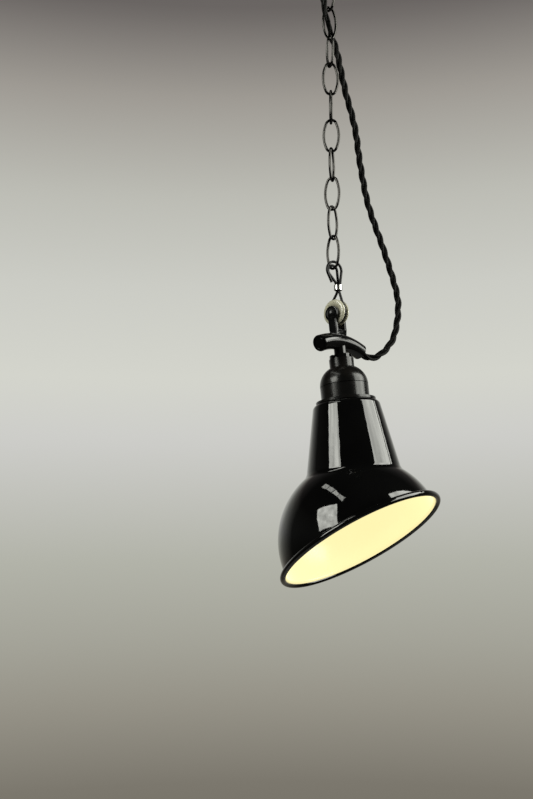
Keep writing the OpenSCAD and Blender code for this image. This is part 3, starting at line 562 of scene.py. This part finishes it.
def strand(bm, distances, number, uv):
    """One strand over a length of cord: a ring, extruded and placed again and again."""
    places = [ring_place(d, number) for d in distances]
    ring = bmesh.ops.create_circle(bm, segments=STRAND_SIDES, radius=1, matrix=places[0])["verts"]
    bmesh.ops.contextual_create(bm, geom=ring)
    for (d0, d1), before, after in zip(zip(distances, distances[1:]), places, places[1:]):
        loop = [bm.edges.get((ring[k], ring[(k + 1) % STRAND_SIDES])) for k in range(STRAND_SIDES)]
        made = bmesh.ops.extrude_edge_only(bm, edges=loop)["geom"]
        fresh = {v for v in made if isinstance(v, bmesh.types.BMVert)}
        bmesh.ops.transform(bm, verts=list(fresh), matrix=after @ before.inverted())
        follow = [next(e.other_vert(v) for e in v.link_edges if e.other_vert(v) in fresh) for v in ring]
        for k in range(STRAND_SIDES):
            corner = {ring[k]: (k, d0), follow[k]: (k, d1),
                      ring[(k + 1) % STRAND_SIDES]: (k + 1, d0), follow[(k + 1) % STRAND_SIDES]: (k + 1, d1)}
            face = next(f for f in ring[k].link_faces if set(f.verts) == set(corner))
            for face_corner in face.loops:
                around, far = corner[face_corner.vert]
                face_corner[uv].uv = (around / STRAND_SIDES, far / MM)
        ring = follow
    bmesh.ops.contextual_create(bm, geom=ring)


def sort_faces(bm):
    """Puts the faces in the order of their vertices, because extruding adds them in another order in each run."""
    bm.verts.index_update()
    ranked = sorted(bm.faces, key=lambda face: sorted(v.index for v in face.verts))
    rank = {face: k for k, face in enumerate(ranked)}
    bm.faces.sort(key=rank.get)


# %% [markdown]
# The cover is a fine braid. Two sets of threads cross at a slant on each strand, so the braid is drawn on the strand's
# own map, which runs round the strand one way and along it, in millimetres, the other way.

# %% Braided cover
THREADS_ROUND, THREADS_PER_MM = 8, 1.1
braid, tree, shader = new_material("braided_cotton", **{
    "Roughness": 0.6, "Specular IOR Level": 0.14, "Sheen Weight": 0.005})
uv_place = add(tree, "ShaderNodeSeparateXYZ", {0: add(tree, "ShaderNodeUVMap", uv_map="strand").outputs["UV"]})
waves = []
for slant in (1, -1):
    round_it = add(tree, "ShaderNodeMath", {
        0: uv_place.outputs["X"], 1: 2 * math.pi * THREADS_ROUND * slant}, operation="MULTIPLY")
    phase = add(tree, "ShaderNodeMath", {
        0: uv_place.outputs["Y"], 1: 2 * math.pi * THREADS_PER_MM, 2: round_it.outputs[0]}, operation="MULTIPLY_ADD")
    waves.append(add(tree, "ShaderNodeMath", {0: phase.outputs[0]}, operation="SINE").outputs[0])
weave = add(tree, "ShaderNodeMath", {0: waves[0], 1: waves[1]}, operation="MULTIPLY").outputs[0]
thread = add(tree, "ShaderNodeMapRange", {"Value": weave, "From Min": -1.0, "From Max": 1.0}).outputs["Result"]
tree.links.new(
    mix_colours(tree, thread, (0.001, 0.001, 0.0008, 1), (0.006, 0.0057, 0.0046, 1)), shader.inputs["Base Color"])
relief = add(tree, "ShaderNodeBump", {"Height": thread, "Strength": 0.4, "Distance": 0.0002})
tree.links.new(relief.outputs["Normal"], shader.inputs["Normal"])
print("braid with", THREADS_ROUND, "threads round a strand")

# %% Cord pieces
for k, distances in enumerate(stations):
    bm = bmesh.new()
    uv = bm.loops.layers.uv.new("strand")
    for number in range(STRANDS):
        strand(bm, distances, number, uv)
    bmesh.ops.recalc_face_normals(bm, faces=bm.faces)
    for face in bm.faces:
        face.smooth = len(face.verts) == 4
    sort_faces(bm)
    mesh = bpy.data.meshes.new(f"cord_{k + 1:02d}")
    bm.to_mesh(mesh)
    bm.free()
    mesh.materials.append(braid)
    piece = bpy.data.objects.new(mesh.name, mesh)
    scene.collection.objects.link(piece)
    path = [frames[d][0] for d in distances]
    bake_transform(piece, BODIES[k], BODIES[k + 1], start=path[0], end=path[-1])
    if k == 0:
        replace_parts(piece, "flex_cord")
print("cord in", len(stations), "lengths")

# %% [markdown]
# ## Shade
#
# The shade is one steel pressing: a shouldered neck that flares into a ball, cut off at a slant, with a lip and a
# rolled bead. The neck's half outline is spun. Its lower edge is then drawn out again and again: along the ball from
# the crease to the slanted rim, round the small bend, and out to the end of the lip. Bevels round the shoulder and the
# crease, and a wall thickness makes the surface a sheet. The white lining is the same shape, a little smaller.

# %% Shade sizes
BOLT = Vector((-0.979, 4.375, -338.794)) * MM
LEAN, SHADE_TURN, RIM_SLANT = math.radians(6.5), math.radians(8), math.radians(25.5)
SHADE_TOP, NECK_FOOT, BOWL = 78.15 * MM, 139.65 * MM, 193.65 * MM
HOLE_R, NECK_TOP_R, NECK_FOOT_R, BOWL_R = 19.5 * MM, 28.7 * MM, 39.9 * MM, 68.4 * MM
SHOULDER_R, CREASE_R, CREASE_ROOM, LIP_BEND = 4 * MM, 3 * MM, 4 * MM, 1.2 * MM
LIP_R, LIP_TOP, BEAD_R = 71.6 * MM, 0.5 * MM, 2.4 * MM
SHADE_STEPS, ARC_STEPS, BEND_STEPS, ROUND_STEPS = 144, 24, 5, 6
FLARE = (NECK_FOOT_R - NECK_TOP_R) / (NECK_FOOT - SHADE_TOP - SHOULDER_R)
LAMP = Matrix.Translation(BOLT) @ Matrix.Rotation(-LEAN, 4, "Y")
SHADE = LAMP @ Matrix.Rotation(SHADE_TURN, 4, "Z")
RIM = Matrix.Translation((0, 0, -BOWL)) @ Matrix.Rotation(-RIM_SLANT, 4, "Y")
print("shade", round(2 * (LIP_R + BEAD_R) / MM), "mm across its bead")

# %% Shade helpers
HALVINGS = 40
NEAR_HEIGHT, NEAR_R = 0.01 * MM, 0.1 * MM


def neck_r(depth, inset):
    return NECK_TOP_R + FLARE * (depth - SHADE_TOP - SHOULDER_R) - inset


def neck_meets_bowl(inset):
    """Depth at which the neck's cone runs into the bowl's ball."""
    low, high = SHADE_TOP, NECK_FOOT
    for _ in range(HALVINGS):
        middle = (low + high) / 2
        if math.hypot(neck_r(middle, inset), BOWL - middle) > BOWL_R - inset:
            low = middle
        else:
            high = middle
    return middle


def ring_point(radius, height, around):
    return Vector((radius * math.cos(around), radius * math.sin(around), height))


def loop_at(bm, radius, height):
    """The edges of the ring of that radius and height round the shade's axis."""
    return [e for e in bm.edges if all(
        abs(v.co.z - height) < NEAR_HEIGHT and abs(v.co.xy.length - radius) < NEAR_R for v in e.verts)]


def draw_out(bm, edges, place):
    """Extrudes a ring of edges, and puts each new vertex where its angle round the axis says."""
    around = bm.verts.layers.float["around"]
    made = bmesh.ops.extrude_edge_only(bm, edges=edges)["geom"]
    for v in (v for v in made if isinstance(v, bmesh.types.BMVert)):
        v.co = place(v[around])
    return [e for e in made if isinstance(e, bmesh.types.BMEdge) and e.is_boundary]


# %% Shade surface
def shade_surface(inset, lip_r):
    """The shade's sheet without thickness, from the hole in its top to the end of its lip."""
    bm = bmesh.new()
    around = bm.verts.layers.float.new("around")
    top, crease = SHADE_TOP + inset, neck_meets_bowl(inset)
    outline = [bm.verts.new((r, 0, -depth)) for r, depth in (
        (HOLE_R, top), (neck_r(top, inset), top), (neck_r(crease, inset), crease))]
    for a, b in zip(outline, outline[1:]):
        bm.edges.new((a, b))
    bmesh.ops.spin(
        bm, geom=bm.verts[:] + bm.edges[:], cent=(0, 0, 0), axis=(0, 0, 1), dvec=(0, 0, 0), angle=2 * math.pi,
        steps=SHADE_STEPS, use_merge=True)
    for v in bm.verts:
        v[around] = math.atan2(v.co.y, v.co.x)

    ball, bend, rim_z = BOWL_R - inset, LIP_BEND + inset, LIP_TOP + LIP_BEND
    rim_r = math.sqrt(ball ** 2 - rim_z ** 2)
    first = CREASE_ROOM / ball
    loop = loop_at(bm, neck_r(crease, inset), -crease)
    for k in range(ARC_STEPS):
        def on_ball(turn):
            start = (ring_point(neck_r(crease, inset), BOWL - crease, turn)).normalized()
            end = (RIM.to_3x3() @ ring_point(rim_r, rim_z, turn)).normalized()
            begin = first / start.angle(end)
            return RIM.translation + ball * start.slerp(end, begin + (1 - begin) * k / (ARC_STEPS - 1))
        loop = draw_out(bm, loop, on_ball)
    lip = [(rim_r + bend * (1 - math.cos(a)), rim_z - bend * math.sin(a))
           for a in (math.pi / 2 * (k + 1) / BEND_STEPS for k in range(BEND_STEPS))]
    for r, z in (*lip, (lip_r, lip[-1][1])):
        loop = draw_out(bm, loop, lambda turn: RIM @ ring_point(r, z, turn))

    for offset, radius, depth in ((SHOULDER_R - inset, neck_r(top, inset), top),
                                  (CREASE_R, neck_r(crease, inset), crease)):
        bmesh.ops.bevel(
            bm, geom=loop_at(bm, radius, -depth), offset=offset, offset_type="OFFSET", affect="EDGES",
            segments=ROUND_STEPS, profile=0.5, material=-1)
    bm.verts.layers.float.remove(bm.verts.layers.float["around"])
    bmesh.ops.recalc_face_normals(bm, faces=bm.faces)
    return bm


# %% From mesh to piece
def smooth_but_sharp(bm, degrees=32):
    for face in bm.faces:
        face.smooth = True
    for edge in bm.edges:
        edge.smooth = not (edge.is_manifold and edge.calc_face_angle() > math.radians(degrees))


def piece_from(bm, name, place, material, body):
    bm.transform(place)
    mesh = bpy.data.meshes.new(name)
    bm.to_mesh(mesh)
    bm.free()
    mesh.materials.append(material)
    made = bpy.data.objects.new(name, mesh)
    scene.collection.objects.link(made)
    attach(made, body)
    print(name, len(mesh.polygons), "faces")
    return made


# %% Shade shell and bead
SHELL_T, LINING_T, LINING_IN = 0.8 * MM, 0.1 * MM, 0.86 * MM
SHELL_END, LINING_END = LIP_R - BEAD_R / 2, LIP_R - BEAD_R * 0.9
BEAD_SIDES = 24

bm = shade_surface(0, SHELL_END)
bmesh.ops.solidify(bm, geom=bm.faces[:], thickness=-SHELL_T)
bead = bmesh.ops.create_circle(
    bm, segments=BEAD_SIDES, radius=BEAD_R,
    matrix=RIM @ Matrix.Translation((LIP_R, 0, 0)) @ Matrix.Rotation(math.pi / 2, 4, "X"))["verts"]
bead_edges = list({e for v in bead for e in v.link_edges})
bmesh.ops.spin(
    bm, geom=bead + bead_edges, cent=RIM.translation, axis=RIM.to_3x3() @ Vector((0, 0, 1)), dvec=(0, 0, 0),
    angle=2 * math.pi, steps=SHADE_STEPS, use_merge=True)
smooth_but_sharp(bm)
shell = piece_from(bm, "shade_shell", SHADE, enamel_black, "shade")
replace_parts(shell, "shade")

bm = shade_surface(LINING_IN, LINING_END)
bmesh.ops.solidify(bm, geom=bm.faces[:], thickness=-LINING_T)
smooth_but_sharp(bm)
piece_from(bm, "shade_lining", SHADE, enamel_lit, "shade")

# %% [markdown]
# ## Fork and bobbin
#
# The fork is a casting, so its edges are round and catch thin lines of light. It is a U-shaped bar with a round boss on
# each arm, and its bridge is cut across and narrowed towards the foot. The bobbin is turned porcelain with soft lips:
# half of its section is drawn as points, mirrored and spun.

# %% Fork
ARM_HALF_W, FORK_HALF_W, FORK_GAP = 4.2 * MM, 7.3 * MM, 4.5 * MM
BRIDGE_TOP, BRIDGE_FOOT = -14.4 * MM, -19 * MM
EYE_R, EYE_T, EYE_Y, EYE_SIDES = 6.8 * MM, 3 * MM, 5.95 * MM, 48
FOOT_SHARE = 0.8
EDGE_R, EDGE_STEPS, CORNER = 0.8 * MM, 5, math.radians(40)

bm = bmesh.new()
outline = [bm.verts.new((-ARM_HALF_W, y, z)) for y, z in (
    (-FORK_HALF_W, 0), (-FORK_HALF_W, BRIDGE_FOOT), (FORK_HALF_W, BRIDGE_FOOT), (FORK_HALF_W, 0), (FORK_GAP, 0),
    (FORK_GAP, BRIDGE_TOP), (-FORK_GAP, BRIDGE_TOP), (-FORK_GAP, 0))]
bar = bmesh.ops.extrude_face_region(bm, geom=[bm.faces.new(outline)])["geom"]
bmesh.ops.translate(
    bm, verts=[v for v in bar if isinstance(v, bmesh.types.BMVert)], vec=(2 * ARM_HALF_W, 0, 0))
bmesh.ops.bisect_plane(
    bm, geom=bm.verts[:] + bm.edges[:] + bm.faces[:], plane_co=(0, 0, BRIDGE_TOP), plane_no=(0, 0, 1))
foot = [v for v in bm.verts if v.co.z < (BRIDGE_TOP + BRIDGE_FOOT) / 2]
bmesh.ops.scale(bm, verts=foot, vec=(FOOT_SHARE, 1, 1))
for side in (-1, 1):
    bmesh.ops.create_cone(
        bm, cap_ends=True, segments=EYE_SIDES, radius1=EYE_R, radius2=EYE_R, depth=EYE_T,
        matrix=Matrix.Translation((0, side * EYE_Y, 0)) @ Matrix.Rotation(math.pi / 2, 4, "X"))
bmesh.ops.recalc_face_normals(bm, faces=bm.faces)
corners = [e for e in bm.edges if e.calc_face_angle() > CORNER]
bmesh.ops.bevel(
    bm, geom=corners, offset=EDGE_R, offset_type="OFFSET", affect="EDGES", segments=EDGE_STEPS, profile=0.5,
    material=-1)
smooth_but_sharp(bm)
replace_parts(piece_from(bm, "fork_casting", LAMP, gloss_black, "lamp"), "fork")

# %% Bobbin
BOBBIN_AT = Vector((-0.979, 4.375, -337.174)) * MM
HALF_SECTION = (
    (4.2, 3.9), (4.5, 4.2), (8.4, 4.2), (9.6, 4.1), (10.5, 3.8), (11.1, 3.3), (11.3, 2.8), (11.2, 2.4), (10.8, 2.05),
    (10, 1.75), (9.2, 1.5), (8.5, 1.25), (8, 0.85), (7.7, 0.4), (7.65, 0))
BOBBIN_STEPS = 72

bm = bmesh.new()
section = [*HALF_SECTION, *((r, -y) for r, y in reversed(HALF_SECTION[:-1]))]
ring = [bm.verts.new((r * MM, y * MM, 0)) for r, y in section]
edges = [bm.edges.new(pair) for pair in zip(ring, [*ring[1:], ring[0]])]
bmesh.ops.spin(
    bm, geom=ring + edges, cent=(0, 0, 0), axis=(0, 1, 0), dvec=(0, 0, 0), angle=2 * math.pi, steps=BOBBIN_STEPS,
    use_merge=True)
bmesh.ops.recalc_face_normals(bm, faces=bm.faces)
smooth_but_sharp(bm, 50)
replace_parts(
    piece_from(bm, "bobbin_turned", Matrix.Translation(BOBBIN_AT), porcelain, "sling"), "bobbin")
